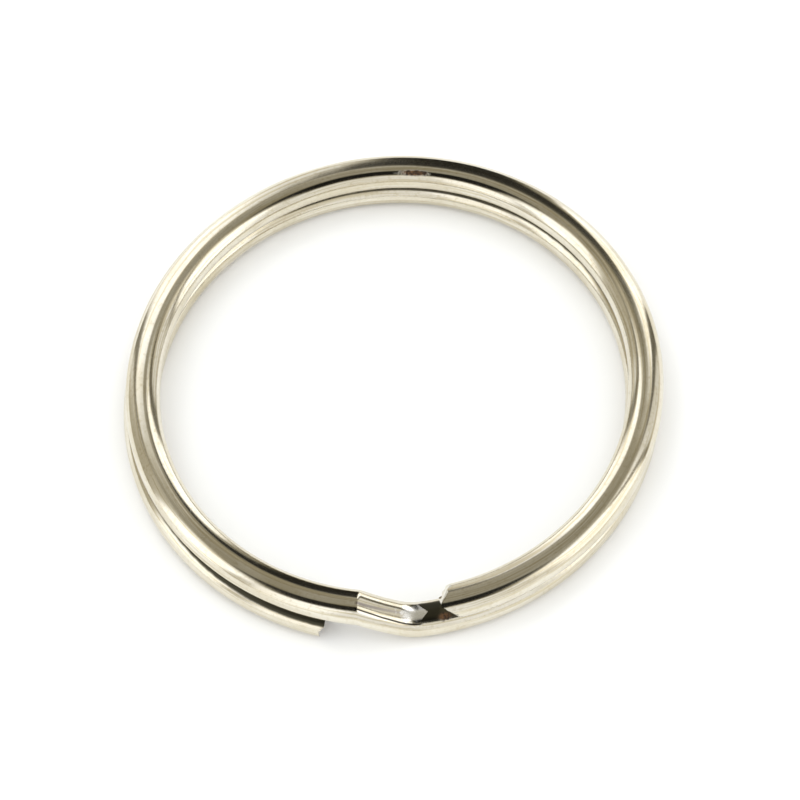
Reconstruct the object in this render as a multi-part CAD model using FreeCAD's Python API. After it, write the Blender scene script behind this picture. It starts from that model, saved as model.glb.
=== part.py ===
import FreeCAD, Part
import math
import os
from FreeCAD import Vector

# Split key ring: one hard spring wire, wound twice round and pressed so that the turns lie flat on
# each other.  A short crossover, bent like a step, lifts the wire from the lower turn to the upper.
# Each turn ends in a free end beside the crossover, and a key is pushed in between them there.
#
# The wire is written as the lengths that spring apart when the ring is opened.  Millimetres and
# degrees.  The origin is on the axis of the upper turn, in the plane that the ring lies on, +Z is
# up, and the crossover is centred on -Y.  Angles run anticlockwise from +X, seen from above.

# ---- Driving dimensions ----
outer_diameter = 30.0  # over the upper turn
wire_height = 1.6  # along the axis, between the two rolled flats
flat_width = 0.35  # of each rolled flat; the sides of the wire are half rounds
turn_gap = 0.08  # between the turns when the ring is closed
lower_turn_inset = 0.09  # how far inside the upper turn the lower one starts
lower_end_stand_out = 0.20  # how far outside the upper turn it has sprung at its free end
lower_turn_shift = 0.16  # how far the lower turn's centre has moved towards -X
crossover_length = 3.5  # of the wire that climbs from one turn to the other
foot_bend_share = 0.30  # of that length, taken by the bend that leaves the lower turn
crest_bend_share = 0.06  # of that length, taken by the bend onto the upper turn
upper_end_setback = 1.31  # from the foot of the crossover to the upper free end
lower_end_setback = 1.77  # from the top of the crossover to the lower free end
free_end_length = 3.0  # of each free end, which the shear has marked
hinge_clearance = 0.03  # between the two halves of a turn, which twist against each other

# The sheared faces of the free ends.  Each face is a plane: how far it reaches past the end of the
# wire's centreline, and how much further for each millimetre outwards and each millimetre upwards.
upper_end_faces = (
    (0.31, 0.59, -0.45),
    (0.18, -1.05, 0.71),
)
lower_end_faces = ((0.0, 0.0, 0.33),)

# ---- Sizes that follow ----
side_radius = wire_height / 2
wire_width = wire_height + flat_width
pitch = wire_height + turn_gap
upper_radius = (outer_diameter - wire_width) / 2
SECTORS = ("front_right", "right", "back_right", "back_left", "left", "front_left")
HINGE_SECTORS = ("back_right", "back_left")
CROSSOVER_SECTIONS = 15
UP = Vector(0, 0, 1)


def along_wire(length):
    """The angle that a length of wire covers round the ring."""
    return math.degrees(length / upper_radius)


def outward(angle):
    """The unit vector that points away from the axis at an angle."""
    return Vector(math.cos(math.radians(angle)), math.sin(math.radians(angle)), 0)


def anticlockwise(angle):
    """The unit vector along the wire at an angle."""
    return outward(angle + 90)


foot_angle = -90 + along_wire(crossover_length) / 2
top_angle = 270 - along_wire(crossover_length) / 2
upper_end_angle = foot_angle + along_wire(upper_end_setback)
lower_end_angle = top_angle - along_wire(lower_end_setback)


class Arc:
    """A stretch of wire with one centre and one radius."""

    def __init__(self, centre, radius, start, end):
        self.centre = centre
        self.radius = radius
        self.start = start
        self.end = end

    def point(self, angle, out=0.0, up=0.0):
        """A point of the wire at an angle, out and up from the wire's own centreline."""
        return self.centre + outward(angle) * (self.radius + out) + UP * up

    def section(self, angle):
        """The wire's outline at an angle: two flats joined by two half rounds."""
        half = flat_width / 2
        side = half + side_radius
        top_in = self.point(angle, -half, side_radius)
        top_out = self.point(angle, half, side_radius)
        low_out = self.point(angle, half, -side_radius)
        low_in = self.point(angle, -half, -side_radius)
        edges = [
            Part.makeLine(top_in, top_out),
            Part.Arc(top_out, self.point(angle, side), low_out).toShape(),
            Part.makeLine(low_out, low_in),
            Part.Arc(low_in, self.point(angle, -side), top_in).toShape(),
        ]
        return Part.Wire(edges)

    def solid(self, start, end):
        """The wire from one angle to another."""
        face = Part.Face(self.section(start))
        return face.revolve(self.centre, UP, end - start)


class Turn:
    """One turn of the ring, in equal arcs.

    The radius grows steadily from start to end.  The centre of each arc lies on a small circle,
    so that neighbouring arcs share their tangent.
    """

    def __init__(self, start, end, start_radius, end_radius, middle):
        self.step = (end - start) / len(SECTORS)
        growth = (end_radius - start_radius) / math.radians(end - start)
        half_chord = math.sin(math.radians(self.step / 2))
        self.arcs = {}
        for index, sector in enumerate(SECTORS):
            arc_start = start + index * self.step
            centre = middle + anticlockwise(arc_start + self.step / 2) * growth
            radius = start_radius + (2 * index + 1) * growth * half_chord
            self.arcs[sector] = Arc(centre, radius, arc_start, arc_start + self.step)

    def length(self, sector, start=None, end=None):
        """The wire of one sector, less half the hinge clearance where the turn's halves meet."""
        arc = self.arcs[sector]
        trim = math.degrees(hinge_clearance / 2 / arc.radius)
        if start is None:
            start = arc.start + (trim if sector == HINGE_SECTORS[1] else 0)
        if end is None:
            end = arc.end - (trim if sector == HINGE_SECTORS[0] else 0)
        return arc.solid(start, end)


def beyond(point, normal):
    """Everything within reach of the wire's end on the outer side of a plane."""
    reach = 4 * wire_width
    block = Part.makeBox(reach, reach, reach, Vector(0, -reach / 2, -reach / 2))
    block.Placement = FreeCAD.Placement(point, FreeCAD.Rotation(Vector(1, 0, 0), normal))
    return block


def free_end(arc, end_angle, direction, faces):
    """The last length of a turn, cut off by the faces that the shear left.

    direction is 1 where the wire ends anticlockwise and -1 where it ends clockwise.
    """
    root_angle = end_angle - direction * along_wire(free_end_length)
    spare_angle = end_angle + direction * along_wire(wire_width)
    solid = arc.solid(min(root_angle, spare_angle), max(root_angle, spare_angle))
    ahead = anticlockwise(end_angle) * direction
    for reach, out_slope, up_slope in faces:
        normal = ahead - outward(end_angle) * out_slope - UP * up_slope
        solid = solid.cut(beyond(arc.point(end_angle) + ahead * reach, normal))
    return solid


def climb(share):
    """How much of the step is climbed after a share of the crossover: a ramp with rounded ends."""
    slope = 1 / (1 - (foot_bend_share + crest_bend_share) / 2)
    if share < foot_bend_share:
        return slope * share * share / (2 * foot_bend_share)
    if share > 1 - crest_bend_share:
        return 1 - slope * (1 - share) ** 2 / (2 * crest_bend_share)
    return slope * (share - foot_bend_share / 2)


def crossover(low, high):
    """The step between the turns, from the start of the lower turn's first arc to the end of the
    upper turn's last arc.  The wire's outline stays upright all the way."""
    sections = []
    for index in range(CROSSOVER_SECTIONS):
        share = index / (CROSSOVER_SECTIONS - 1)
        risen = climb(share)
        angle = foot_angle - share * along_wire(crossover_length)
        centre = low.centre * (1 - risen) + high.centre * risen
        radius = low.radius * (1 - risen) + high.radius * risen
        sections.append(Arc(centre, radius, angle, angle).section(angle))
    return Part.makeLoft(sections, True)


def build():
    """Every length of the wire, by name."""
    lower = Turn(
        foot_angle,
        lower_end_angle,
        upper_radius - lower_turn_inset,
        upper_radius + lower_end_stand_out,
        Vector(-lower_turn_shift, 0, wire_height / 2),
    )
    upper = Turn(
        upper_end_angle,
        top_angle,
        upper_radius,
        upper_radius,
        Vector(0, 0, wire_height / 2 + pitch),
    )
    free_angle = along_wire(free_end_length)
    lower_last = lower.arcs["front_left"]
    upper_first = upper.arcs["front_right"]
    nodes = {}
    for sector in SECTORS:
        nodes["lower_" + sector] = lower.length(sector)
        nodes["upper_" + sector] = upper.length(sector)
    nodes["lower_front_left"] = lower.length("front_left", end=lower_last.end - free_angle)
    nodes["upper_front_right"] = upper.length("front_right", start=upper_first.start + free_angle)
    nodes["lower_free_end"] = free_end(lower_last, lower_end_angle, 1, lower_end_faces)
    nodes["upper_free_end"] = free_end(upper_first, upper_end_angle, -1, upper_end_faces)
    nodes["crossover"] = crossover(lower.arcs["front_right"], upper.arcs["front_left"])
    for name, turn in (("lower", lower), ("upper", upper)):
        hinge = turn.arcs[HINGE_SECTORS[0]]
        place = hinge.point(hinge.end)
        axis = anticlockwise(hinge.end)
        print(f"{name} hinge at {tuple(place)}, along {tuple(axis)}")
    rest = lower.arcs["left"]
    print(f"rest face at {tuple(rest.point((rest.start + rest.end) / 2, 0, -side_radius))}")
    return nodes


os.makedirs("parts", exist_ok=True)
for name, shape in build().items():
    shape.exportStep(f"parts/{name}.step")
    print(f"{name}: {shape.Volume:.3f} mm3, {len(shape.Solids)} solid, valid {shape.isValid()}")
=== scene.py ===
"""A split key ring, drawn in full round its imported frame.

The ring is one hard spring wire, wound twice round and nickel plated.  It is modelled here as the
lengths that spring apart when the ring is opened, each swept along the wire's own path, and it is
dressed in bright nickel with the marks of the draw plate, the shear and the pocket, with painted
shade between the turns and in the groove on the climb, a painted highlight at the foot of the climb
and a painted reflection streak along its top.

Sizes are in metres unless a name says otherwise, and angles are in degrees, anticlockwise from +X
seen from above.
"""

import logging
import math
from bisect import bisect
from collections.abc import Callable, Sequence
from dataclasses import dataclass, field
from enum import Enum

import bmesh
import bpy
from mathutils import Matrix, Vector


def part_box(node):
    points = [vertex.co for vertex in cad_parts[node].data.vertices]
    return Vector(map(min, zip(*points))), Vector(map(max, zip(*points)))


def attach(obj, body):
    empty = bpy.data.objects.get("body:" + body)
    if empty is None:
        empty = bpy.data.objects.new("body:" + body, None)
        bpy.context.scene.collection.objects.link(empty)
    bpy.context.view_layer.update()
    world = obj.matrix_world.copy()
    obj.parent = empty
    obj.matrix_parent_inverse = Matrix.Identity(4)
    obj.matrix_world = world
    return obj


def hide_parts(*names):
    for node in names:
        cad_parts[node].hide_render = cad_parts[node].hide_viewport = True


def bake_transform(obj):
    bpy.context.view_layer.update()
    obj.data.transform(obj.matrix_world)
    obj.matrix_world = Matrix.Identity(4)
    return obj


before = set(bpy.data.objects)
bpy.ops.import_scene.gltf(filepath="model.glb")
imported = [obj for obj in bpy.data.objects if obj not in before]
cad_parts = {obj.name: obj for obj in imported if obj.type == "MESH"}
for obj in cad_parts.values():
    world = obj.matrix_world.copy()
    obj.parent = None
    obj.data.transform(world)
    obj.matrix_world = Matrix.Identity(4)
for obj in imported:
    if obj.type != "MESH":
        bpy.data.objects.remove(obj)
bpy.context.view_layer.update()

LOG = logging.getLogger("split_ring")
MM = 0.001
UP = Vector((0, 0, 1))
PLACE = "wire_place"  # where on the wire a point is: along it, outwards and upwards, in millimetres


def outward(angle: float) -> Vector:
    """The unit vector that points away from the ring's axis at an angle."""
    return Vector((math.cos(math.radians(angle)), math.sin(math.radians(angle)), 0))


def anticlockwise(angle: float) -> Vector:
    """The unit vector along the wire at an angle."""
    return outward(angle + 90)


# ---------------------------------------------------------------------------------------------
# Working on a mesh with the operators
# ---------------------------------------------------------------------------------------------


def pick_only(piece: bpy.types.Object) -> None:
    """Makes one object the only selected and the active one."""
    bpy.ops.object.select_all(action="DESELECT")
    piece.select_set(True)
    bpy.context.view_layer.objects.active = piece


def start_edit(piece: bpy.types.Object, mode: str = "VERT") -> None:
    """Opens one object in edit mode, with nothing selected.

    Args:
        piece: The object to open.
        mode: What is selected in it: VERT, EDGE or FACE.
    """
    pick_only(piece)
    bpy.ops.object.mode_set(mode="EDIT")
    bpy.ops.mesh.select_mode(type=mode)
    bpy.ops.mesh.select_all(action="DESELECT")


def end_edit() -> None:
    """Goes back to object mode."""
    bpy.ops.object.mode_set(mode="OBJECT")


def select_points(piece: bpy.types.Object, test: Callable[[Vector], bool]) -> int:
    """Adds to the selection each point of an open mesh that passes a test of its place.

    Args:
        piece: The object in edit mode.
        test: Tells from a point's place whether it is wanted.

    Returns:
        The number of points selected in all.
    """
    mesh = bmesh.from_edit_mesh(piece.data)
    for point in mesh.verts:
        if test(point.co):
            point.select_set(True)
    mesh.select_flush_mode()
    bmesh.update_edit_mesh(piece.data)
    return sum(point.select for point in mesh.verts)


def close_shell(piece: bpy.types.Object) -> None:
    """Merges an open mesh's doubles, fills its open ends and turns its faces outwards."""
    bpy.ops.mesh.select_all(action="SELECT")
    bpy.ops.mesh.remove_doubles(threshold=0.0005 * MM)
    bpy.ops.mesh.fill_holes(sides=0)
    bpy.ops.mesh.normals_make_consistent(inside=False)
    bpy.ops.mesh.select_all(action="DESELECT")


def smooth(piece: bpy.types.Object, angle: float = 35) -> None:
    """Shades an object smoothly, with creases where its faces meet more sharply than an angle."""
    pick_only(piece)
    bpy.ops.object.shade_smooth_by_angle(angle=math.radians(angle))


# ---------------------------------------------------------------------------------------------
# The path of the wire
# ---------------------------------------------------------------------------------------------


@dataclass(frozen=True)
class WireSection:
    """The wire's outline: two rolled flats joined by two rounds.

    The rolled faces are a little crowned, and coiling has left them leaning outwards.
    """

    height: float = 1.6 * MM
    width: float = 1.95 * MM
    flat: float = 0.2 * MM
    lean: float = 5.5
    sides: int = 72

    def draw(self, name: str, stretch: "Stretch") -> bpy.types.Object:
        """Adds the outline as a loop of edges, upright at the start of a stretch.

        Args:
            name: The name of the new object.
            stretch: The stretch of wire that the outline starts.

        Returns:
            The new object, at the origin, with its place in its mesh.
        """
        bpy.ops.object.select_all(action="DESELECT")
        bpy.ops.mesh.primitive_circle_add(
            vertices=self.sides,
            radius=self.height / 2,
            fill_type="NOTHING",
            rotation=(math.pi / 2, math.pi / self.sides, 0),
        )
        piece = bpy.context.object
        piece.name = piece.data.name = name
        bpy.ops.object.transform_apply(location=True, rotation=True, scale=True)
        round_width = self.width - self.flat
        start_edit(piece)
        bpy.ops.mesh.select_all(action="SELECT")
        bpy.ops.transform.resize(value=(round_width / self.height, 1, 1))
        for side in (-1, 1):
            bpy.ops.mesh.select_all(action="DESELECT")
            select_points(piece, lambda place: place.x * side > 0)
            bpy.ops.transform.translate(value=(side * self.flat / 2, 0, 0))
        bpy.ops.mesh.select_all(action="SELECT")
        bpy.ops.transform.rotate(
            value=-math.radians(self.lean), orient_axis="Y", center_override=(0, 0, 0)
        )
        rise = self.flat / 2 * math.sin(math.radians(self.lean))
        bpy.ops.transform.resize(value=(1, 1, self.height / (self.height + 2 * rise)))
        end_edit()
        piece.rotation_euler.z = math.radians(stretch.start)
        piece.location = stretch.point(stretch.start)
        bpy.ops.object.transform_apply(location=True, rotation=True, scale=True)
        return piece


@dataclass(frozen=True)
class Stretch:
    """A stretch of wire with one centre and one radius, which runs clockwise.

    A climbing stretch is one short step, and it ends with a shift to where the next one starts.
    """

    centre: Vector
    radius: float
    start: float
    end: float
    distance: float
    steps: int
    shift: Vector = field(default_factory=Vector)

    @property
    def length(self) -> float:
        """The length of the stretch's centreline."""
        return self.radius * math.radians(self.start - self.end)

    def point(self, angle: float, out: float = 0, up: float = 0) -> Vector:
        """A point at an angle, out and up from the centreline."""
        return self.centre + outward(angle) * (self.radius + out) + UP * up

    def angle_of(self, place: Vector) -> float:
        """The angle of a point about the centre, counted on from the start of the stretch."""
        offset = place - self.centre
        angle = math.degrees(math.atan2(offset.y, offset.x))
        middle = (self.start + self.end) / 2
        return angle + 360 * round((middle - angle) / 360)

    def place_of(self, place: Vector) -> Vector:
        """Where on the wire a point is: along, outwards and upwards, in metres."""
        offset = place - self.centre
        along = self.distance + self.radius * math.radians(self.start - self.angle_of(place))
        turned = (self.start - self.angle_of(place)) / max(self.start - self.end, 1e-9)
        level = self.shift * min(max(turned, 0), 1)
        return Vector(
            (along, Vector((offset.x, offset.y)).length - self.radius, offset.z - level.z)
        )

    def sweep(self) -> None:
        """Draws the selected outline of the open mesh along the stretch."""
        bpy.ops.mesh.spin(
            steps=self.steps,
            angle=math.radians(self.start - self.end),
            center=self.centre,
            axis=UP,
        )
        if self.shift.length > 0:
            bpy.ops.transform.translate(value=self.shift)


class Level(Enum):
    """The two turns of the ring."""

    LOWER = "lower"
    UPPER = "upper"


@dataclass(frozen=True)
class RingPath:
    """The path of the whole wire, from the lower free end clockwise to the upper one.

    The sizes are the frame's own driving sizes, and check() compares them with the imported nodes.
    """

    section: WireSection = WireSection()
    outer_diameter: float = 30.0 * MM
    turn_gap: float = 0.08 * MM
    lower_inset: float = 0.09 * MM
    lower_stand_out: float = 0.20 * MM
    lower_shift: float = 0.16 * MM
    crossover_length: float = 3.5 * MM
    foot_bend: float = 0.30
    crest_bend: float = 0.06
    upper_setback: float = 1.31 * MM
    lower_setback: float = 1.77 * MM
    free_end_length: float = 3.0 * MM
    spare_length: float = 2.0 * MM
    arcs_a_turn: int = 6
    arc_steps: int = 96
    climb_steps: int = 70
    end_steps: int = 20
    tolerance: float = 0.03 * MM

    @property
    def pitch(self) -> float:
        """The height from one turn's centreline to the other's."""
        return self.section.height + self.turn_gap

    @property
    def upper_radius(self) -> float:
        """The radius of the upper turn's centreline."""
        return (self.outer_diameter - self.section.width) / 2

    def degrees(self, length: float) -> float:
        """The angle that a length of wire covers round the ring."""
        return math.degrees(length / self.upper_radius)

    @property
    def foot(self) -> float:
        """The angle where the crossover leaves the lower turn."""
        return -90 + self.degrees(self.crossover_length) / 2

    @property
    def top(self) -> float:
        """The angle where the crossover reaches the upper turn."""
        return 270 - self.degrees(self.crossover_length) / 2

    @property
    def upper_end(self) -> float:
        """The angle of the upper free end."""
        return self.foot + self.degrees(self.upper_setback)

    @property
    def lower_end(self) -> float:
        """The angle of the lower free end."""
        return self.top - self.degrees(self.lower_setback)

    def turn(self, level: Level) -> list[Stretch]:
        """The equal arcs of a turn, whose centres lie on a small circle so that they share tangents.

        Args:
            level: Which of the turns it is.

        Returns:
            The arcs from the anticlockwise end of the turn to its other end.
        """
        if level is Level.LOWER:
            start, end = self.foot, self.lower_end
            start_radius = self.upper_radius - self.lower_inset
            end_radius = self.upper_radius + self.lower_stand_out
            middle = Vector((-self.lower_shift, 0, self.section.height / 2))
            distance = 0.0
        else:
            start, end = self.upper_end, self.top
            start_radius = end_radius = self.upper_radius
            middle = Vector((0, 0, self.section.height / 2 + self.pitch))
            distance = self.lower_length + self.crossover_length
        step = (end - start) / self.arcs_a_turn
        growth = (end_radius - start_radius) / math.radians(end - start)
        half_chord = math.sin(math.radians(step / 2))
        arcs = []
        for index in reversed(range(self.arcs_a_turn)):
            clockwise_end = start + index * step
            centre = middle + anticlockwise(clockwise_end + step / 2) * growth
            radius = start_radius + (2 * index + 1) * growth * half_chord
            arc = Stretch(
                centre, radius, clockwise_end + step, clockwise_end, distance, self.arc_steps
            )
            arcs.append(arc)
            distance += arc.length
        return arcs

    @property
    def lower_length(self) -> float:
        """The length of the lower turn, near enough to count distances from."""
        mean = self.upper_radius + (self.lower_stand_out - self.lower_inset) / 2
        return mean * math.radians(self.lower_end - self.foot)

    def climbed(self, share: float) -> float:
        """How much of the step is climbed after a share of the crossover."""
        slope = 1 / (1 - (self.foot_bend + self.crest_bend) / 2)
        if share < self.foot_bend:
            return slope * share * share / (2 * self.foot_bend)
        if share > 1 - self.crest_bend:
            return 1 - slope * (1 - share) ** 2 / (2 * self.crest_bend)
        return slope * (share - self.foot_bend / 2)

    def crossover(self) -> list[Stretch]:
        """The climb from the lower turn to the upper one, as many short steps."""
        low = self.turn(Level.LOWER)[-1]
        high = self.turn(Level.UPPER)[0]
        span = self.degrees(self.crossover_length)

        def at(share: float) -> tuple[Vector, float, float]:
            risen = self.climbed(share)
            centre = low.centre.lerp(high.centre, risen)
            return centre, low.radius + (high.radius - low.radius) * risen, self.foot - share * span

        steps = []
        for index in range(self.climb_steps):
            centre, radius, start = at(index / self.climb_steps)
            next_centre, next_radius, end = at((index + 1) / self.climb_steps)
            shift = next_centre - centre + outward(end) * (next_radius - radius)
            distance = self.lower_length + self.crossover_length * index / self.climb_steps
            steps.append(Stretch(centre, radius, start, end, distance, 1, shift))
        return steps

    def free_end(self, level: Level) -> list[Stretch]:
        """The last length of a turn, with spare wire beyond its end for the shear to take off.

        Args:
            level: Which of the turns it is.

        Returns:
            One stretch, clockwise.
        """
        arcs = self.turn(level)
        spare = self.degrees(self.spare_length)
        kept = self.degrees(self.free_end_length)
        if level is Level.LOWER:
            arc, start, end = arcs[0], self.lower_end + spare, self.lower_end - kept
        else:
            arc, start, end = arcs[-1], self.upper_end + kept, self.upper_end - spare
        distance = arc.distance + arc.radius * math.radians(arc.start - start)
        return [Stretch(arc.centre, arc.radius, start, end, distance, self.end_steps)]

    def shortened(self, level: Level) -> Stretch:
        """The arc beside a free end, without the length that the free end takes."""
        arcs = self.turn(level)
        kept = self.degrees(self.free_end_length)
        if level is Level.LOWER:
            arc, start, end = arcs[0], self.lower_end - kept, arcs[0].end
        else:
            arc, start, end = arcs[-1], arcs[-1].start, self.upper_end + kept
        distance = arc.distance + arc.radius * math.radians(arc.start - start)
        return Stretch(arc.centre, arc.radius, start, end, distance, arc.steps)

    def check(self) -> None:
        """Logs a warning for each node whose box doesn't hold this path's wire."""
        for level, node in ((Level.LOWER, "lower_left"), (Level.UPPER, "upper_left")):
            low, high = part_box(node)
            reach = max(-arc.point(180, self.section.width / 2).x for arc in self.turn(level))
            if abs(high.z - low.z - self.section.height) > self.tolerance:
                LOG.warning("%s is not as high as the wire", node)
            if abs(-low.x - reach) > 4 * self.tolerance:
                LOG.warning("%s reaches %.5f, the path %.5f", node, -low.x, reach)


# ---------------------------------------------------------------------------------------------
# Materials
# ---------------------------------------------------------------------------------------------

Socket = bpy.types.NodeSocket
Value = float | Sequence[float] | Socket


class Bench:
    """A short way to add, set and link the nodes of one tree."""

    def __init__(self, tree: bpy.types.NodeTree) -> None:
        """Starts on a tree, with nothing in it."""
        self.tree = tree
        tree.nodes.clear()

    def put(self, socket: Socket, value: Value) -> None:
        """Sets an input to a value, or links it to another node's output."""
        if isinstance(value, bpy.types.NodeSocket):
            self.tree.links.new(value, socket)
        else:
            socket.default_value = value

    def add(self, kind: str, inputs: dict[str | int, Value] | None = None, **settings) -> bpy.types.Node:
        """Adds a node.

        Args:
            kind: The node's type, without its ShaderNode prefix.
            inputs: What goes into its inputs, by name or number.
            settings: Its own settings.

        Returns:
            The new node.
        """
        node = self.tree.nodes.new(kind if kind.startswith("Node") else "ShaderNode" + kind)
        for name, setting in settings.items():
            setattr(node, name, setting)
        for name, value in (inputs or {}).items():
            self.put(node.inputs[name], value)
        return node

    def math(self, operation: str, *values: Value) -> Socket:
        """The result of a sum on numbers."""
        node = self.add("Math", dict(enumerate(values)), operation=operation)
        return node.outputs[0]

    def vector(self, operation: str, *values: Value) -> Socket:
        """The result of a sum on vectors."""
        node = self.add("VectorMath", dict(enumerate(values)), operation=operation)
        return node.outputs["Value" if operation in ("LENGTH", "DISTANCE", "DOT_PRODUCT") else 0]

    def between(self, value: Value, low: Value, high: Value, to_low: Value = 0.0, to_high: Value = 1.0) -> Socket:
        """A value taken smoothly from one range to another, and held at the ends."""
        inputs = {0: value, 1: low, 2: high, 3: to_low, 4: to_high}
        node = self.add("MapRange", inputs, interpolation_type="SMOOTHSTEP")
        return node.outputs[0]

    def blend(self, share: Value, first: Value, second: Value) -> Socket:
        """A mix of two colours."""
        node = self.add("Mix", data_type="RGBA")
        self.put(node.inputs["Factor"], share)
        self.put(next(s for s in node.inputs if s.name == "A" and s.type == "RGBA"), first)
        self.put(next(s for s in node.inputs if s.name == "B" and s.type == "RGBA"), second)
        return next(s for s in node.outputs if s.type == "RGBA")

    def noise(self, place: Value, scale: Value = 1.0, detail: float = 3.0, roughness: float = 0.5) -> Socket:
        """Smooth noise from 0 to 1."""
        inputs = {"Vector": place, "Scale": scale, "Detail": detail, "Roughness": roughness}
        return self.add("TexNoise", inputs).outputs[0]


class Effect:
    """A node group that more than one finish places, with values of its own each time."""

    name: str
    inputs: dict[str, tuple[str, float | Sequence[float]]]
    outputs: dict[str, str]

    def __init__(self) -> None:
        """Builds the group."""
        self.group = bpy.data.node_groups.new(self.name, "ShaderNodeTree")
        bench = Bench(self.group)
        self.group.interface.new_socket(PLACE, in_out="INPUT", socket_type="NodeSocketVector")
        for name, (kind, value) in self.inputs.items():
            socket = self.group.interface.new_socket(
                name, in_out="INPUT", socket_type="NodeSocket" + kind
            )
            socket.default_value = value
        for name, kind in self.outputs.items():
            self.group.interface.new_socket(name, in_out="OUTPUT", socket_type="NodeSocket" + kind)
        entry = bench.add("NodeGroupInput")
        leave = bench.add("NodeGroupOutput")
        results = self.draw(bench, {s.name: s for s in entry.outputs if s.name})
        for name, result in results.items():
            bench.put(leave.inputs[name], result)

    def draw(self, bench: Bench, given: dict[str, Socket]) -> dict[str, Socket]:
        """Adds the group's own nodes.

        Args:
            bench: The group's tree.
            given: The group's inputs, by name.

        Returns:
            What each output of the group is fed with.
        """
        raise NotImplementedError

    def place(self, bench: Bench, place: Socket, **values: Value) -> bpy.types.Node:
        """Puts the group into a material.

        Args:
            bench: The material's tree.
            place: Where on the wire the point is.
            values: The inputs that differ from the group's own, with _ for a space.

        Returns:
            The group's node.
        """
        node = bench.add("Group", node_tree=self.group)
        bench.put(node.inputs[PLACE], place)
        for name, value in values.items():
            bench.put(node.inputs[name.replace("_", " ")], value)
        return node


class DrawnLines(Effect):
    """The fine lines that the draw plate leaves along the wire."""

    name = "drawn lines"
    inputs = {"Length": ("Float", 9.0), "Width": ("Float", 0.12), "Waver": ("Float", 0.15)}
    outputs = {"Lines": "Float"}

    def draw(self, bench: Bench, given: dict[str, Socket]) -> dict[str, Socket]:
        """Noise that is stretched along the wire, and wavers a little."""
        along = bench.math("DIVIDE", 1.0, given["Length"])
        across = bench.math("DIVIDE", 1.0, given["Width"])
        scale = bench.add("CombineXYZ", {0: along, 1: across, 2: across}).outputs[0]
        wander = bench.add("TexNoise", {"Vector": given[PLACE], "Scale": 0.35}).outputs["Color"]
        wander = bench.vector("SUBTRACT", wander, (0.5, 0.5, 0.5))
        strength = bench.add("CombineXYZ", {1: given["Waver"], 2: given["Waver"]}).outputs[0]
        moved = bench.vector("ADD", given[PLACE], bench.vector("MULTIPLY", wander, strength))
        return {"Lines": bench.noise(bench.vector("MULTIPLY", moved, scale), 1.0, 3.0, 0.6)}


class PlateMottle(Effect):
    """The slight clouding of nickel plate: broad patches with a fine grain in them."""

    name = "plate mottle"
    inputs = {"Patch": ("Float", 1.6), "Grain": ("Float", 0.22)}
    outputs = {"Clouds": "Float", "Grain": "Float"}

    def draw(self, bench: Bench, given: dict[str, Socket]) -> dict[str, Socket]:
        """Two noises, the broad one drawn out along the wire."""
        drawn_out = bench.vector("MULTIPLY", given[PLACE], (0.4, 1.0, 1.0))
        patches = bench.noise(drawn_out, bench.math("DIVIDE", 1.0, given["Patch"]), 4.0, 0.55)
        grain = bench.noise(given[PLACE], bench.math("DIVIDE", 1.0, given["Grain"]), 2.0, 0.6)
        return {"Clouds": patches, "Grain": grain}


class Scratches(Effect):
    """Thin scratches from keys and pockets, more across the wire than along it."""

    name = "scratches"
    inputs = {"Spacing": ("Float", 1.3), "Width": ("Float", 0.02), "Slant": ("Float", 0.6)}
    outputs = {"Scratches": "Float"}

    def draw(self, bench: Bench, given: dict[str, Socket]) -> dict[str, Socket]:
        """Two sets of wavering lines, each broken up by a noise."""
        parts = bench.add("SeparateXYZ", {0: given[PLACE]}).outputs
        sets = []
        for turn, offset in ((1.0, 0.0), (-0.45, 3.7)):
            slant = bench.math("MULTIPLY", given["Slant"], turn)
            round_wire = bench.math("ADD", parts[1], parts[2])
            lean = bench.math("MULTIPLY_ADD", round_wire, slant, parts[0])
            wander = bench.noise(bench.vector("ADD", given[PLACE], (offset, 0, 0)), 0.8, 2.0)
            lean = bench.math("MULTIPLY_ADD", wander, 1.4, lean)
            phase = bench.math("PINGPONG", lean, bench.math("MULTIPLY", given["Spacing"], 0.5))
            line = bench.between(phase, 0.0, given["Width"], 1.0, 0.0)
            broken = bench.noise(bench.vector("ADD", given[PLACE], (0, offset, 0)), 1.1, 2.0)
            sets.append(bench.math("MULTIPLY", line, bench.between(broken, 0.55, 0.68)))
        return {"Scratches": bench.math("MAXIMUM", sets[0], sets[1])}


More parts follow.
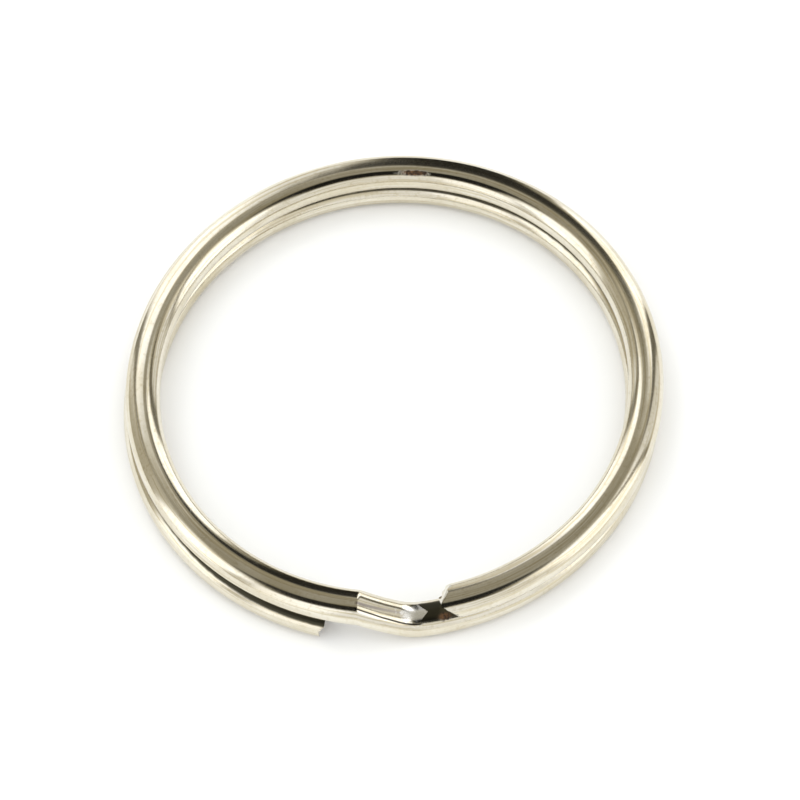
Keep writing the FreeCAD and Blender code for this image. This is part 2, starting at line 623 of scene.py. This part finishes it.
class MatingFaces(Effect):
    """The faces that the turns press together, coloured with painted shade for the gap between the turns.

    They are the top of the lower turn and the bottom of the upper one, and the climb has none.
    """

    name = "mating faces"
    inputs = {
        "Foot": ("Float", 83.0),
        "Climb": ("Float", 3.5),
        "Edge": ("Float", 0.615),
        "Softness": ("Float", 0.09),
        "Free end": ("Float", 12.0),
    }
    outputs = {"Painted gap shade": "Float", "Inside": "Float"}

    def draw(self, bench: Bench, given: dict[str, Socket]) -> dict[str, Socket]:
        """Masks from the height and the depth in the section, with ragged edges."""
        along, out, up = bench.add("SeparateXYZ", {0: given[PLACE]}).outputs
        ragged = bench.math("SUBTRACT", bench.noise(given[PLACE], 1.9, 4.0, 0.6), 0.5)
        tongue = bench.math("MULTIPLY_ADD", bench.math("ABSOLUTE", out), -1.0, 0.5)
        reached = bench.math("ADD", along, bench.math("MAXIMUM", tongue, 0.0))
        lower = bench.between(reached, given["Foot"], bench.math("ADD", given["Foot"], 0.08), 1.0, 0.0)
        crest = bench.math("ADD", given["Foot"], given["Climb"])
        upper = bench.between(along, crest, bench.math("ADD", crest, 0.08))
        facing = bench.math("MULTIPLY", up, bench.math("SUBTRACT", lower, upper))
        facing = bench.math("MULTIPLY_ADD", ragged, 0.06, facing)
        # Near the lower free end the painted shade reaches further round the wire, to darken the wedge between
        # the turns.
        facing = bench.math("ADD", facing, bench.between(along, 0.0, given["Free end"], 0.12, 0.0))
        high = bench.math("ADD", given["Edge"], given["Softness"])
        inside = bench.math("MULTIPLY_ADD", ragged, 0.3, bench.math("MULTIPLY", out, -1.0))
        return {
            "Painted gap shade": bench.between(facing, given["Edge"], high),
            "Inside": bench.between(inside, 0.55, 0.95),
        }


class PressMark(Effect):
    """A band along the climb: the groove that the forming tool left, with painted shade in it, and again a
    painted reflection streak along the top of the climb.
    """

    name = "press mark"
    inputs = {
        "Foot": ("Float", 83.0),
        "Climb": ("Float", 3.5),
        "At foot": ("Float", 0.6),
        "At crest": ("Float", 0.44),
        "Half width": ("Float", 0.04),
    }
    outputs = {"Mark": "Float", "Share": "Float"}

    def draw(self, bench: Bench, given: dict[str, Socket]) -> dict[str, Socket]:
        """A narrow band round a place across the wire that moves from foot to crest."""
        along, out, up = bench.add("SeparateXYZ", {0: given[PLACE]}).outputs
        share = bench.math("DIVIDE", bench.math("SUBTRACT", along, given["Foot"]), given["Climb"])
        wander = bench.math("SUBTRACT", bench.noise(given[PLACE], 1.5, 2.0), 0.5)
        middle = bench.between(share, 0.0, 1.0, given["At foot"], given["At crest"])
        middle = bench.math("MULTIPLY_ADD", wander, 0.05, middle)
        offset = bench.math("ABSOLUTE", bench.math("SUBTRACT", out, middle))
        broad = bench.math("MULTIPLY", given["Half width"], 1.6)
        line = bench.between(offset, bench.math("MULTIPLY", given["Half width"], 0.5), broad, 1.0, 0.0)
        line = bench.math("MULTIPLY", line, bench.between(up, 0.3, 0.4))
        line = bench.math("MULTIPLY", line, bench.between(share, -0.06, 0.02))
        return {
            "Mark": bench.math("MULTIPLY", line, bench.between(share, 0.98, 1.02, 1.0, 0.0)),
            "Share": share,
        }


class Stain(Effect):
    """A soft patch at one place on the wire, used for rust where the plate has worn through and for the painted
    highlight at the foot of the climb.
    """

    name = "stain"
    inputs = {"Middle": ("Vector", (0, 0, 0)), "Reach": ("Vector", (1, 1, 1))}
    outputs = {"Stain": "Float", "Speckle": "Float"}

    def draw(self, bench: Bench, given: dict[str, Socket]) -> dict[str, Socket]:
        """A soft ball, stretched to its reach and broken up by noise."""
        offset = bench.vector("SUBTRACT", given[PLACE], given["Middle"])
        distance = bench.vector("LENGTH", bench.vector("DIVIDE", offset, given["Reach"]))
        speckle = bench.noise(given[PLACE], 5.0, 4.0, 0.65)
        uneven = bench.math("MULTIPLY_ADD", bench.math("SUBTRACT", speckle, 0.5), 1.6, distance)
        return {"Stain": bench.between(uneven, 0.55, 1.0, 1.0, 0.0), "Speckle": speckle}


@dataclass(frozen=True)
class Effects:
    """The shared effects, each built once."""

    lines: DrawnLines = field(default_factory=DrawnLines)
    mottle: PlateMottle = field(default_factory=PlateMottle)
    scratches: Scratches = field(default_factory=Scratches)
    mating: MatingFaces = field(default_factory=MatingFaces)
    press: PressMark = field(default_factory=PressMark)
    stain: Stain = field(default_factory=Stain)


@dataclass(frozen=True)
class RustPatch:
    """A patch of rust: where it is on the wire and how far it reaches, in millimetres."""

    along: float
    out: float
    up: float
    reach: tuple[float, float, float]


@dataclass(frozen=True)
class NickelFinish:
    """Bright nickel over drawn spring steel, worn, with painted shade where the turns meet and painted light and
    shade on the climb.
    """

    path: RingPath
    name: str = "bright_nickel"
    light: tuple[float, float, float, float] = (0.79, 0.75, 0.65, 1)
    deep: tuple[float, float, float, float] = (0.60, 0.535, 0.39, 1)
    # Near white: a painted highlight on the rougher patch at the foot of the climb.
    pressed_painted_highlight: tuple[float, float, float, float] = (0.98, 0.97, 0.95, 1)
    # Near black: painted shade for the shadow and dark reflection between the turns.
    painted_gap_shade: tuple[float, float, float, float] = (0.06, 0.055, 0.038, 1)
    # Near black: painted shade for the shadow line along the groove on the climb.
    groove_painted_shade: tuple[float, float, float, float] = (0.05, 0.042, 0.03, 1)
    # Grey: a painted reflection streak along the top of the climb.
    painted_reflection_streak: tuple[float, float, float, float] = (0.36, 0.32, 0.29, 1)
    rust: tuple[float, float, float, float] = (0.145, 0.072, 0.030, 1)
    dark_rust: tuple[float, float, float, float] = (0.030, 0.017, 0.009, 1)
    polish: float = 0.085
    painted_gap_shade_rough: float = 0.32
    rust_rough: float = 0.6
    pressed_rough: float = 0.24
    # Where across the wire the painted reflection streak lies at the foot and at the crest, and its half width.
    shade_places: tuple[float, float] = (0.0, 0.11)
    shade_half_width: float = 0.075

    @property
    def rust_patches(self) -> tuple[RustPatch, ...]:
        """Where the plate has failed: at the back, and round the upper free end."""
        foot = self.path.lower_length / MM
        crest = foot + self.path.crossover_length / MM
        radius = self.path.upper_radius / MM
        back = crest + radius * math.radians(self.path.top - 86)
        end = crest + radius * math.radians(self.path.top - self.path.upper_end)
        beside_end = foot - self.path.upper_setback / MM
        return (
            RustPatch(back, -0.50, 0.66, (1.15, 0.22, 0.25)),
            RustPatch(end - 0.25, 0.70, -0.35, (0.55, 0.35, 0.40)),
            RustPatch(beside_end, 0.40, 0.68, (0.50, 0.30, 0.22)),
        )

    def build(self, effects: Effects) -> bpy.types.Material:
        """Makes the material.

        Args:
            effects: The shared effects.

        Returns:
            The material.
        """
        material = bpy.data.materials.new(self.name)
        material.use_nodes = True
        bench = Bench(material.node_tree)
        place = bench.add("Attribute", attribute_name=PLACE, attribute_type="GEOMETRY").outputs["Vector"]
        climb = {"Foot": self.path.lower_length / MM, "Climb": self.path.crossover_length / MM}
        lines = effects.lines.place(bench, place).outputs["Lines"]
        streaks = effects.lines.place(bench, place, Length=17.0, Width=0.16).outputs["Lines"]
        broad = effects.lines.place(bench, place, Length=24.0, Width=0.5).outputs["Lines"]
        mottle = effects.mottle.place(bench, place)
        scratches = effects.scratches.place(bench, place).outputs["Scratches"]
        mating = effects.mating.place(bench, place, **climb)
        groove = effects.press.place(bench, place, **climb).outputs["Mark"]
        at_foot, at_crest = self.shade_places
        shade = effects.press.place(
            bench, place, **climb, At_foot=at_foot, At_crest=at_crest, Half_width=self.shade_half_width
        )

        clouds = bench.between(mottle.outputs["Clouds"], 0.35, 0.68)
        tint = bench.math("MAXIMUM", bench.math("MULTIPLY", clouds, 0.6), bench.between(streaks, 0.44, 0.66))
        speckled = bench.between(mottle.outputs["Grain"], 0.5, 0.75)
        tint = bench.math("MINIMUM", bench.math("MULTIPLY_ADD", speckled, 0.35, tint), 1.0)
        colour = bench.blend(tint, self.light, self.deep)
        # Painted reflection: a grey streak along the top of the climb, stronger towards the crest.
        fading = bench.between(shade.outputs["Share"], 0.1, 1.0, 0.45, 0.95)
        colour = bench.blend(bench.math("MULTIPLY", shade.outputs["Mark"], fading), colour, self.painted_reflection_streak)
        # Partly painted highlight: a rougher patch at the foot of the climb, where the wire is bent, coloured
        # near white so that it shows bright.
        foot_bend = effects.stain.place(
            bench, place, Middle=(climb["Foot"] + 0.15, 0.0, 0.8), Reach=(1.1, 0.75, 0.6)
        )
        hammered_painted_highlight = foot_bend.outputs["Stain"]
        colour = bench.blend(hammered_painted_highlight, colour, self.pressed_painted_highlight)
        # Painted shade: the faces where the turns meet are coloured near black for the gap between them.
        colour = bench.blend(mating.outputs["Painted gap shade"], colour, self.painted_gap_shade)
        # Painted shade: the groove on the climb is coloured near black for the shadow line along it; the bump
        # below gives the groove itself.
        colour = bench.blend(groove, colour, self.groove_painted_shade)
        rusted: Value = 0.0
        for patch in self.rust_patches:
            middle = (patch.along, patch.out, patch.up)
            stain = effects.stain.place(bench, place, Middle=middle, Reach=patch.reach)
            brown = bench.blend(bench.between(stain.outputs["Speckle"], 0.42, 0.6), self.dark_rust, self.rust)
            colour = bench.blend(stain.outputs["Stain"], colour, brown)
            rusted = bench.math("MAXIMUM", rusted, stain.outputs["Stain"])

        rough = bench.between(broad, 0.25, 0.8, self.polish, self.polish + 0.05)
        rough = bench.math("MULTIPLY_ADD", mottle.outputs["Grain"], 0.05, rough)
        rough = bench.math("MULTIPLY_ADD", mating.outputs["Inside"], 0.05, rough)
        dulled = (
            (hammered_painted_highlight, self.pressed_rough),
            (mating.outputs["Painted gap shade"], self.painted_gap_shade_rough),
            (rusted, self.rust_rough),
        )
        for mask, roughness in dulled:
            rough = bench.math("MAXIMUM", rough, bench.math("MULTIPLY", mask, roughness))
        height = bench.math("MULTIPLY", lines, 0.55)
        height = bench.math("MULTIPLY_ADD", mottle.outputs["Grain"], 0.3, height)
        height = bench.math("MULTIPLY_ADD", scratches, -0.3, height)
        height = bench.math("MULTIPLY_ADD", groove, -1.0, height)
        bump = bench.add("Bump", {"Strength": 0.32, "Distance": 0.006 * MM, "Height": height})
        shader = bench.add(
            "BsdfPrincipled",
            {
                "Base Color": colour,
                "Roughness": rough,
                "Metallic": bench.math("SUBTRACT", 1.0, bench.math("MULTIPLY", rusted, 0.7)),
                "Normal": bump.outputs["Normal"],
            },
        )
        output = bench.add("OutputMaterial")
        bench.put(output.inputs["Surface"], shader.outputs[0])
        return material


@dataclass(frozen=True)
class ShearedFinish:
    """The face that the shear left: bare steel, torn upright, with a thin brown film."""

    name: str = "sheared_steel"
    bright: tuple[float, float, float, float] = (0.80, 0.78, 0.72, 1)
    film: tuple[float, float, float, float] = (0.12, 0.07, 0.035, 1)
    polish: float = 0.22
    torn: float = 0.48

    def build(self, effects: Effects) -> bpy.types.Material:
        """Makes the material.

        Args:
            effects: The shared effects.

        Returns:
            The material.
        """
        material = bpy.data.materials.new(self.name)
        material.use_nodes = True
        bench = Bench(material.node_tree)
        place = bench.add("Attribute", attribute_name=PLACE, attribute_type="GEOMETRY").outputs["Vector"]
        upright = bench.vector("MULTIPLY", place, (1.0, 1.0, 0.16))
        tears = effects.lines.place(bench, upright, Length=0.12, Width=0.07, Waver=0.3).outputs["Lines"]
        mottle = effects.mottle.place(bench, place, Patch=0.5, Grain=0.09)
        height = bench.add("SeparateXYZ", {0: place}).outputs[2]
        low = bench.math("MULTIPLY_ADD", height, -0.55, mottle.outputs["Clouds"])
        film = bench.between(low, 0.42, 0.66)
        colour = bench.blend(film, self.bright, self.film)
        rough = bench.between(tears, 0.3, 0.7, self.polish, self.torn)
        height = bench.math("MULTIPLY_ADD", mottle.outputs["Grain"], 0.4, tears)
        bump = bench.add("Bump", {"Strength": 0.6, "Distance": 0.02 * MM, "Height": height})
        shader = bench.add(
            "BsdfPrincipled",
            {
                "Base Color": colour,
                "Roughness": rough,
                "Metallic": 1.0,
                "Normal": bump.outputs["Normal"],
            },
        )
        output = bench.add("OutputMaterial")
        bench.put(output.inputs["Surface"], shader.outputs[0])
        return material


# ---------------------------------------------------------------------------------------------
# The lengths of wire
# ---------------------------------------------------------------------------------------------


@dataclass(frozen=True)
class WireLength:
    """One continuous length of the wire, which stands for some of the frame's nodes."""

    name: str
    path: RingPath
    stretches: tuple[Stretch, ...]
    nodes: tuple[str, ...]
    slot: str = "nickel_wire"
    unevenness: float = 0.012 * MM
    unevenness_size: float = 2.6 * MM

    def build(self) -> bpy.types.Object:
        """Sweeps the wire's outline along the stretches and closes it.

        Returns:
            The piece, without its finish.
        """
        piece = self.path.section.draw(self.name, self.stretches[0])
        start_edit(piece)
        bpy.ops.mesh.select_all(action="SELECT")
        for stretch in self.stretches:
            stretch.sweep()
        end_edit()
        self.roll_unevenly(piece)
        start_edit(piece)
        close_shell(piece)
        end_edit()
        return piece

    def roll_unevenly(self, piece: bpy.types.Object) -> None:
        """Gives the open tube the slight waviness of rolled wire."""
        pick_only(piece)
        waves = bpy.data.textures.get("rolled_waves") or bpy.data.textures.new("rolled_waves", "CLOUDS")
        waves.noise_scale = self.unevenness_size
        waves.noise_depth = 1
        modifier = piece.modifiers.new("rolled unevenly", "DISPLACE")
        modifier.texture = waves
        modifier.texture_coords = "LOCAL"
        modifier.strength = self.unevenness
        modifier.mid_level = 0.5
        bpy.ops.object.modifier_apply(modifier=modifier.name)

    def mark_places(self, piece: bpy.types.Object) -> None:
        """Writes where on the wire each point is, for the materials to follow."""
        passed = [0.0]
        for stretch in self.stretches:
            passed.append(passed[-1] + stretch.start - stretch.end)
        begin, middle = self.stretches[0].start, self.stretches[0].start - passed[-1] / 2
        places = []
        for vertex in piece.data.vertices:
            angle = math.degrees(math.atan2(vertex.co.y, vertex.co.x))
            turned = begin - angle - 360 * round((middle - angle) / 360)
            index = min(max(bisect(passed, turned) - 1, 0), len(self.stretches) - 1)
            places.extend(self.stretches[index].place_of(vertex.co) / MM)
        layer = piece.data.attributes.new(PLACE, "FLOAT_VECTOR", "POINT")
        layer.data.foreach_set("vector", places)

    def dress(self, piece: bpy.types.Object, materials: Sequence[bpy.types.Material]) -> None:
        """Marks where on the wire each point is, gives the piece its finish and hides the frame's nodes that it
        stands for.

        Args:
            piece: The piece.
            materials: The plate, and the sheared steel under it.
        """
        self.mark_places(piece)
        smooth(piece)
        for material in materials:
            piece.data.materials.append(material)
        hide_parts(*self.nodes)


@dataclass(frozen=True)
class RidingLength(WireLength):
    """A length of wire that moves with one body."""

    body: str = ""

    def make(self, materials: Sequence[bpy.types.Material]) -> bpy.types.Object:
        """Builds and dresses the length and fixes it to its body."""
        piece = self.build()
        self.dress(piece, materials)
        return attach(piece, self.body)


@dataclass(frozen=True)
class BendingLength(WireLength):
    """A length of wire between two bodies, fixed to neither of them."""

    bodies: tuple[str, str] = ("", "")
    reach: tuple[float, float] = (0.0, 0.0)

    def make(self, materials: Sequence[bpy.types.Material]) -> bpy.types.Object:
        """Builds and dresses the length and bakes its transform into its mesh."""
        piece = self.build()
        self.dress(piece, materials)
        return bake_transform(piece)


@dataclass(frozen=True)
class ShearedEnd(RidingLength):
    """A free end of the wire, cut off by the faces that the shear left.

    Each face is how far it reaches past the end, and how much further for each millimetre outwards
    and for each millimetre upwards.
    """

    end_angle: float = 0.0
    direction: int = 1
    faces: tuple[tuple[float, float, float], ...] = ()
    edge_round: float = 0.035 * MM
    sharp: float = 15
    slot: str = "sheared_end"

    def build(self) -> bpy.types.Object:
        """Cuts the end off the swept wire and rounds the edges of the cut."""
        piece = super().build()
        stretch = self.stretches[0]
        ahead = anticlockwise(self.end_angle) * self.direction
        for reach, out_slope, up_slope in self.faces:
            normal = ahead - outward(self.end_angle) * out_slope - UP * up_slope
            start_edit(piece, "FACE")
            bpy.ops.mesh.select_all(action="SELECT")
            bpy.ops.mesh.bisect(
                plane_co=stretch.point(self.end_angle) + ahead * reach * MM,
                plane_no=normal,
                use_fill=True,
                clear_outer=True,
            )
            end_edit()
        start_edit(piece)
        close_shell(piece)
        end_edit()
        self.round_edges(piece)
        self.bare_the_cut(piece)
        return piece

    def cut_normals(self) -> list[Vector]:
        """The outward directions of the sheared faces."""
        ahead = anticlockwise(self.end_angle) * self.direction
        return [
            (ahead - outward(self.end_angle) * out_slope - UP * up_slope).normalized()
            for _, out_slope, up_slope in self.faces
        ]

    def round_edges(self, piece: bpy.types.Object) -> None:
        """Rounds the edges of the sheared faces with a narrow bevel."""
        start_edit(piece, "EDGE")
        mesh = bmesh.from_edit_mesh(piece.data)
        for edge in mesh.edges:
            cut = [face for face in edge.link_faces if self.is_cut(face.normal)]
            if cut and edge.calc_face_angle(0) > math.radians(self.sharp):
                edge.select_set(True)
        bmesh.update_edit_mesh(piece.data)
        bpy.ops.mesh.bevel(offset=self.edge_round, segments=3, affect="EDGES")
        end_edit()

    def is_cut(self, normal: Vector) -> bool:
        """Whether a face with this normal is one that the shear left."""
        return max(normal.dot(cut) for cut in self.cut_normals()) > 0.9995

    def bare_the_cut(self, piece: bpy.types.Object) -> None:
        """Gives the sheared faces the second finish, which is the bare steel."""
        for face in piece.data.polygons:
            face.material_index = int(self.is_cut(face.normal))


@dataclass(frozen=True)
class SplitRing:
    """The whole ring: its lengths of wire, from the lower free end to the upper one."""

    path: RingPath = RingPath()
    upper_faces: tuple[tuple[float, float, float], ...] = ((0.31, 0.59, -0.45), (0.18, -1.05, 0.71))
    lower_faces: tuple[tuple[float, float, float], ...] = ((0.0, 0.0, 0.33),)

    def lengths(self) -> list[WireLength]:
        """The lengths of wire, in order.

        Returns:
            Each length, ready to be made.
        """
        path = self.path
        lower = path.turn(Level.LOWER)
        upper = path.turn(Level.UPPER)
        lower_back = self.span("lower_back_left", "lower_back_right")
        upper_back = self.span("upper_back_left", "upper_back_right")
        return [
            ShearedEnd(
                "lower_sheared_end",
                path,
                tuple(path.free_end(Level.LOWER)),
                ("lower_free_end",),
                body="lower_free_half",
                end_angle=path.lower_end,
                direction=1,
                faces=self.lower_faces,
            ),
            RidingLength(
                "lower_free_length",
                path,
                (path.shortened(Level.LOWER), lower[1]),
                ("lower_front_left", "lower_left"),
                body="lower_free_half",
            ),
            BendingLength(
                "lower_back_length",
                path,
                tuple(lower[2:4]),
                ("lower_back_left", "lower_back_right"),
                bodies=("lower_free_half", "crossover_half"),
                reach=lower_back,
            ),
            RidingLength(
                "crossover_length",
                path,
                (*lower[4:], *path.crossover(), *upper[:2]),
                ("lower_right", "lower_front_right", "crossover", "upper_front_left", "upper_left"),
                body="crossover_half",
            ),
            BendingLength(
                "upper_back_length",
                path,
                tuple(upper[2:4]),
                ("upper_back_left", "upper_back_right"),
                bodies=("crossover_half", "upper_free_half"),
                reach=upper_back,
            ),
            RidingLength(
                "upper_free_length",
                path,
                (upper[4], path.shortened(Level.UPPER)),
                ("upper_right", "upper_front_right"),
                body="upper_free_half",
            ),
            ShearedEnd(
                "upper_sheared_end",
                path,
                tuple(path.free_end(Level.UPPER)),
                ("upper_free_end",),
                body="upper_free_half",
                end_angle=path.upper_end,
                direction=-1,
                faces=self.upper_faces,
            ),
        ]

    def span(self, left: str, right: str) -> tuple[float, float]:
        """From where to where along X the back of a turn reaches: the inner sides of its ends."""
        section = self.path.section
        left_low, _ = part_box(left)
        _, right_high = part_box(right)
        return left_low.x + section.width, right_high.x - section.width

    def make(self, materials: Sequence[bpy.types.Material]) -> None:
        """Makes every length of the ring and reports it.

        Args:
            materials: The plate, and the sheared steel under it.
        """
        self.path.check()
        for length in self.lengths():
            piece = length.make(materials)
            LOG.info("%s: %d faces", piece.name, len(piece.data.polygons))


# ---------------------------------------------------------------------------------------------
# The studio
# ---------------------------------------------------------------------------------------------


def direction_to(azimuth: float, elevation: float) -> Vector:
    """The direction of something seen from the ring.

    Args:
        azimuth: 0 in front of the ring, on -Y, and 90 on its right, on +X.
        elevation: The height above the horizon.

    Returns:
        The unit vector towards it.
    """
    turn, rise = math.radians(azimuth), math.radians(elevation)
    return Vector(
        (math.sin(turn) * math.cos(rise), -math.cos(turn) * math.cos(rise), math.sin(rise))
    )


@dataclass(frozen=True)
class Panel:
    """A part of the tent's wall that is brighter or darker than the rest, with soft edges."""

    azimuth: float
    elevation: float
    half_width: float
    half_height: float
    radiance: float
    edge: float = 0.25

    def mask(self, bench: Bench, looking: Socket, turn: float) -> Socket:
        """How far a direction lies on the panel.

        Args:
            bench: The world's tree.
            looking: The direction.
            turn: The azimuth that the tent faces.

        Returns:
            1 on the panel and 0 off it.
        """
        azimuth = self.azimuth + turn
        middle = direction_to(azimuth, self.elevation)
        level = anticlockwise(azimuth - 90)
        axes = ((level, self.half_width), (middle.cross(level), self.half_height))
        share = bench.between(bench.vector("DOT_PRODUCT", looking, middle), 0.0, 0.05)
        for axis, half in axes:
            reach = math.sin(math.radians(half))
            offset = bench.math("ABSOLUTE", bench.vector("DOT_PRODUCT", looking, axis))
            inner, outer = reach * (1 - self.edge), reach * (1 + self.edge)
            share = bench.math("MULTIPLY", share, bench.between(offset, inner, outer, 1.0, 0.0))
        return share


@dataclass(frozen=True)
class Studio:
    """A pale floor in a white tent, with an opening for the lens, and the camera."""

    azimuth: float = 6.5
    elevation: float = 60.11
    distance: float = 220 * MM
    roll: float = 6.31
    lens: float = 176.15
    aim: tuple[float, float] = (0.216 * MM, 0.305 * MM)  # right and up in the picture
    floor_size: float = 4.0
    floor_colour: tuple[float, float, float, float] = (0.94, 0.94, 0.94, 1)
    lamp_size: float = 0.9
    lamp_height: float = 0.8
    lamp_power: float = 4.8
    lamp_colour: tuple[float, float, float] = (0.95, 0.98, 1.0)
    tent: float = 0.50
    dim_colour: tuple[float, float, float, float] = (1.0, 0.94, 0.76, 1)
    bright_colour: tuple[float, float, float, float] = (1.0, 1.0, 0.99, 1)
    dim_radiance: float = 0.45
    bright_radiance: float = 1.05
    panels: tuple[Panel, ...] = (
        Panel(0, 18, 58, 32, 0.98),
        Panel(-160, 25, 40, 34, 0.95),
        Panel(112, 26, 20, 34, 0.85),
        Panel(-104, 26, 20, 34, 0.55),
        Panel(70, 25, 20, 34, 1.7),
        Panel(-80, 25, 14, 34, 1.65),
        Panel(143, 28, 12, 32, 1.7),
        Panel(-155, 28, 10, 30, 1.6),
        Panel(-42, 20, 12, 30, 1.4),
        Panel(125, 25, 5, 34, 0.16),
        Panel(-137, 25, 4, 32, 0.26),
        Panel(92, 25, 3, 34, 0.3),
        Panel(160, 25, 4, 34, 0.35),
        Panel(171, 22, 9, 36, 0.02),
        Panel(0, 90, 27, 27, 0.36),
        Panel(-14, 70, 29, 14.5, 0.01),
    )

    def make(self) -> None:
        """Builds the floor, the lights and the camera."""
        self.lay_floor()
        self.hang_tent()
        self.hang_lamp()
        self.set_camera()

    def lay_floor(self) -> None:
        """Lays the plain white floor."""
        bpy.ops.object.select_all(action="DESELECT")
        bpy.ops.mesh.primitive_plane_add(size=self.floor_size, location=(0, 0, 0))
        floor = bpy.context.object
        floor.name = "floor"
        material = bpy.data.materials.new("white_floor")
        material.use_nodes = True
        bench = Bench(material.node_tree)
        shader = bench.add("BsdfPrincipled", {"Base Color": self.floor_colour, "Roughness": 0.9})
        shader.inputs["Specular IOR Level"].default_value = 0.1
        output = bench.add("OutputMaterial")
        bench.put(output.inputs["Surface"], shader.outputs[0])
        floor.data.materials.append(material)

    def hang_tent(self) -> None:
        """Makes the world a white tent, whose panels are the studio's soft light."""
        world = bpy.data.worlds.new("tent")
        world.use_nodes = True
        bpy.context.scene.world = world
        bench = Bench(world.node_tree)
        looking = bench.add("TexCoord").outputs["Generated"]
        radiance: Value = self.tent
        for panel in self.panels:
            share = panel.mask(bench, looking, self.azimuth)
            mix = bench.add("Mix", {0: share, 2: radiance, 3: panel.radiance}, data_type="FLOAT")
            radiance = mix.outputs[0]
        brightness = bench.between(radiance, self.dim_radiance, self.bright_radiance)
        colour = bench.blend(brightness, self.dim_colour, self.bright_colour)
        background = bench.add("Background", {"Color": colour, "Strength": radiance})
        output = bench.add("OutputWorld")
        bench.put(output.inputs["Surface"], background.outputs[0])

    def hang_lamp(self) -> None:
        """Hangs a broad soft lamp that brightens the floor and leaves no image in the metal."""
        lamp = bpy.data.lights.new("soft_lamp", "AREA")
        lamp.size = self.lamp_size
        lamp.energy = self.lamp_power
        lamp.color = self.lamp_colour
        light = bpy.data.objects.new("soft_lamp", lamp)
        light.location = (0, 0, self.lamp_height)
        light.visible_glossy = False
        light.visible_camera = False
        bpy.context.scene.collection.objects.link(light)

    def set_camera(self) -> None:
        """Places the camera that looks down on the ring."""
        lens = bpy.data.cameras.new("camera")
        lens.lens = self.lens
        lens.clip_start, lens.clip_end = 0.01, 20
        camera = bpy.data.objects.new("camera", lens)
        bpy.context.scene.collection.objects.link(camera)
        back = direction_to(self.azimuth, self.elevation)
        level = anticlockwise(self.azimuth - 90)
        above = back.cross(level)
        turn, lean = math.cos(math.radians(self.roll)), math.sin(math.radians(self.roll))
        right = level * turn - above * lean
        top = level * lean + above * turn
        place = back * self.distance + right * self.aim[0] + top * self.aim[1]
        axes = Matrix((right, top, back)).transposed().to_4x4()
        camera.matrix_world = Matrix.Translation(place) @ axes
        bpy.context.scene.camera = camera
        bpy.context.scene.view_settings.view_transform = "Standard"


def main() -> None:
    """Builds the ring and the studio round it."""
    logging.basicConfig(level=logging.INFO, format="%(name)s: %(message)s")
    effects = Effects()
    ring = SplitRing()
    materials = [NickelFinish(ring.path).build(effects), ShearedFinish().build(effects)]
    ring.make(materials)
    Studio().make()


if __name__ == "__main__":
    main()
